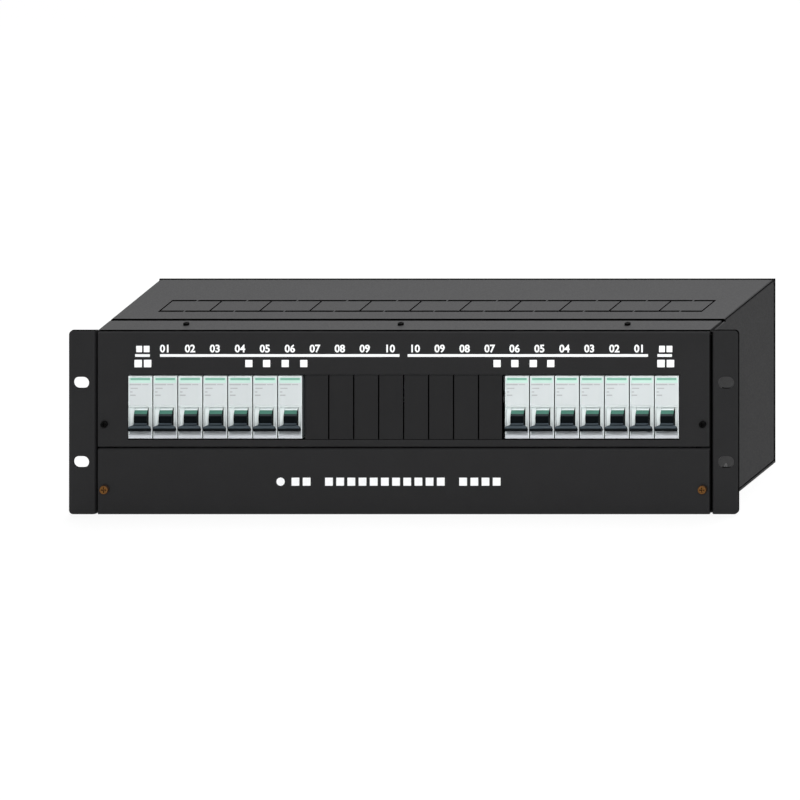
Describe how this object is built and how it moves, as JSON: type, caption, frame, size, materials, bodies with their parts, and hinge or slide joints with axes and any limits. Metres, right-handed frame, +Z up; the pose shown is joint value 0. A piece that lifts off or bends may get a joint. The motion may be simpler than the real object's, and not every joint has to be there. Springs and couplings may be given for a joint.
{
  "type": "dc power distribution unit",
  "caption": "Rack-mounted low-voltage DC distribution panel: modular breakers on a rail behind a windowed front, with two feeds, blanking strips, rack ears and a removable lower cover.",
  "frame": {"origin": "centre of the four rack slots, on the rear face of the rack ears where they meet the rack rails", "axes": "+X to the right seen from the front, +Y to the rear of the unit, +Z up"},
  "size_m": [0.4826, 0.1296, 0.1342],
  "materials": {
    "black_powder_coat": "fine-textured matt powder coat",
    "breaker_housing": "fine-grained moulded thermoplastic",
    "toggle_moulding": "satin moulded thermoplastic",
    "blank_moulding": "fine-grained moulded thermoplastic",
    "zinc_plated_steel": "bright zinc plate",
    "black_screw": "black zinc plate",
    "copper_screw": "browned copper plate",
    "copper": "bare copper",
    "insulation": "moulded insulating plastic",
    "black_rubber": "matt rubber"
  },
  "bodies": {
    "chassis": {"bar_feet": "insulation", "bar_screws": "zinc_plated_steel", "base_plate": "black_powder_coat", "blank_strip_a": "blank_moulding", "blank_strip_b": "blank_moulding", "breaker_case_a1": "breaker_housing", "breaker_case_a2": "breaker_housing", "breaker_case_a3": "breaker_housing", "breaker_case_a4": "breaker_housing", "breaker_case_a5": "breaker_housing", "breaker_case_a6": "breaker_housing", "breaker_case_a_input": "breaker_housing", "breaker_case_b1": "breaker_housing", "breaker_case_b2": "breaker_housing", "breaker_case_b3": "breaker_housing", "breaker_case_b4": "breaker_housing", "breaker_case_b5": "breaker_housing", "breaker_case_b6": "breaker_housing", "breaker_case_b_input": "breaker_housing", "case_screws": "black_screw", "chassis_shell": "black_powder_coat", "comb_busbar_a": "copper", "comb_busbar_b": "copper", "comb_cover_a": "insulation", "comb_cover_b": "insulation", "cover_screws": "copper_screw", "din_rail": "zinc_plated_steel", "earth_nut": "zinc_plated_steel", "earth_stud": "zinc_plated_steel", "flange_screws": "black_screw", "front_top_rail": "black_powder_coat", "left_cable_grommet": "black_rubber", "left_rack_ear": "black_powder_coat", "left_rail_bracket": "zinc_plated_steel", "lower_front_cover": "black_powder_coat", "panel_screws": "black_screw", "rail_screws": "zinc_plated_steel", "rear_panel": "black_powder_coat", "return_bar_a": "copper", "return_bar_b": "copper", "right_cable_grommet": "black_rubber", "right_rack_ear": "black_powder_coat", "right_rail_bracket": "zinc_plated_steel", "terminal_screws": "zinc_plated_steel", "upper_front_panel": "black_powder_coat"},
    "toggle_a_input": {"toggle_a_input": "toggle_moulding"},
    "toggle_a1": {"toggle_a1": "toggle_moulding"},
    "toggle_a2": {"toggle_a2": "toggle_moulding"},
    "toggle_a3": {"toggle_a3": "toggle_moulding"},
    "toggle_a4": {"toggle_a4": "toggle_moulding"},
    "toggle_a5": {"toggle_a5": "toggle_moulding"},
    "toggle_a6": {"toggle_a6": "toggle_moulding"},
    "toggle_b6": {"toggle_b6": "toggle_moulding"},
    "toggle_b5": {"toggle_b5": "toggle_moulding"},
    "toggle_b4": {"toggle_b4": "toggle_moulding"},
    "toggle_b3": {"toggle_b3": "toggle_moulding"},
    "toggle_b2": {"toggle_b2": "toggle_moulding"},
    "toggle_b1": {"toggle_b1": "toggle_moulding"},
    "toggle_b_input": {"toggle_b_input": "toggle_moulding"}
  },
  "joints": [
    {"name": "toggle_a_input_hinge", "type": "hinge", "parent": "chassis", "child": "toggle_a_input", "pos_m": [-0.1898, 0.007, 0.0024], "axis": [-1, 0, 0], "range_deg": [0, 66]},
    {"name": "toggle_a1_hinge", "type": "hinge", "parent": "chassis", "child": "toggle_a1", "pos_m": [-0.1718, 0.007, 0.0024], "axis": [-1, 0, 0], "range_deg": [0, 66]},
    {"name": "toggle_a2_hinge", "type": "hinge", "parent": "chassis", "child": "toggle_a2", "pos_m": [-0.1538, 0.007, 0.0024], "axis": [-1, 0, 0], "range_deg": [0, 66]},
    {"name": "toggle_a3_hinge", "type": "hinge", "parent": "chassis", "child": "toggle_a3", "pos_m": [-0.1358, 0.007, 0.0024], "axis": [-1, 0, 0], "range_deg": [0, 66]},
    {"name": "toggle_a4_hinge", "type": "hinge", "parent": "chassis", "child": "toggle_a4", "pos_m": [-0.1178, 0.007, 0.0024], "axis": [-1, 0, 0], "range_deg": [0, 66]},
    {"name": "toggle_a5_hinge", "type": "hinge", "parent": "chassis", "child": "toggle_a5", "pos_m": [-0.0998, 0.007, 0.0024], "axis": [-1, 0, 0], "range_deg": [0, 66]},
    {"name": "toggle_a6_hinge", "type": "hinge", "parent": "chassis", "child": "toggle_a6", "pos_m": [-0.0818, 0.007, 0.0024], "axis": [-1, 0, 0], "range_deg": [0, 66]},
    {"name": "toggle_b6_hinge", "type": "hinge", "parent": "chassis", "child": "toggle_b6", "pos_m": [0.0818, 0.007, 0.0024], "axis": [-1, 0, 0], "range_deg": [0, 66]},
    {"name": "toggle_b5_hinge", "type": "hinge", "parent": "chassis", "child": "toggle_b5", "pos_m": [0.0998, 0.007, 0.0024], "axis": [-1, 0, 0], "range_deg": [0, 66]},
    {"name": "toggle_b4_hinge", "type": "hinge", "parent": "chassis", "child": "toggle_b4", "pos_m": [0.1178, 0.007, 0.0024], "axis": [-1, 0, 0], "range_deg": [0, 66]},
    {"name": "toggle_b3_hinge", "type": "hinge", "parent": "chassis", "child": "toggle_b3", "pos_m": [0.1358, 0.007, 0.0024], "axis": [-1, 0, 0], "range_deg": [0, 66]},
    {"name": "toggle_b2_hinge", "type": "hinge", "parent": "chassis", "child": "toggle_b2", "pos_m": [0.1538, 0.007, 0.0024], "axis": [-1, 0, 0], "range_deg": [0, 66]},
    {"name": "toggle_b1_hinge", "type": "hinge", "parent": "chassis", "child": "toggle_b1", "pos_m": [0.1718, 0.007, 0.0024], "axis": [-1, 0, 0], "range_deg": [0, 66]},
    {"name": "toggle_b_input_hinge", "type": "hinge", "parent": "chassis", "child": "toggle_b_input", "pos_m": [0.1898, 0.007, 0.0024], "axis": [-1, 0, 0], "range_deg": [0, 66]}
  ]
}
